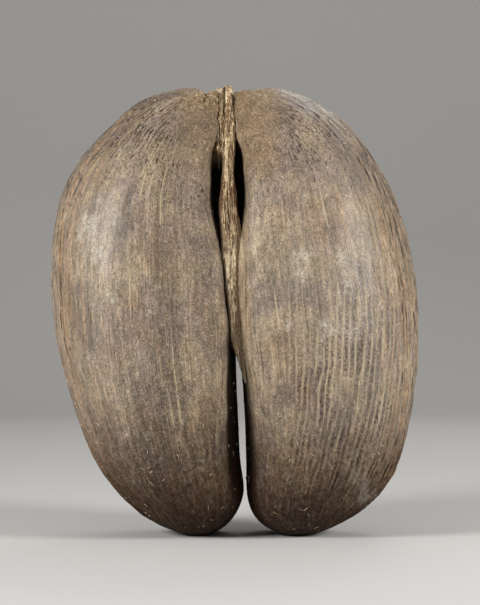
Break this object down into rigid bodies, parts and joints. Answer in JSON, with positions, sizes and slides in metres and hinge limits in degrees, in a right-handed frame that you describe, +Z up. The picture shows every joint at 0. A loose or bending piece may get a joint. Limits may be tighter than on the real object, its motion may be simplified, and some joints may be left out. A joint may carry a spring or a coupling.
{
  "type": "coco de mer nut",
  "caption": "Bare two-lobed coco de mer nut standing on its lobe tips, with a strip of dried husk left in the cleft of its front.",
  "frame": {"origin": "on the floor under the middle of the nut's bounding box", "axes": "+Z up from the lobe tips to the crown, -Y out of the open front of the cleft, X across the two lobes"},
  "size_m": [0.2488, 0.1664, 0.3049],
  "materials": {
    "nut_shell": "satin, fine grain, worn",
    "dried_husk": "matte, coarse dry fibre"
  },
  "bodies": {
    "root": {"nut": "nut_shell", "husk_strip": "dried_husk"}
  },
  "joints": []
}
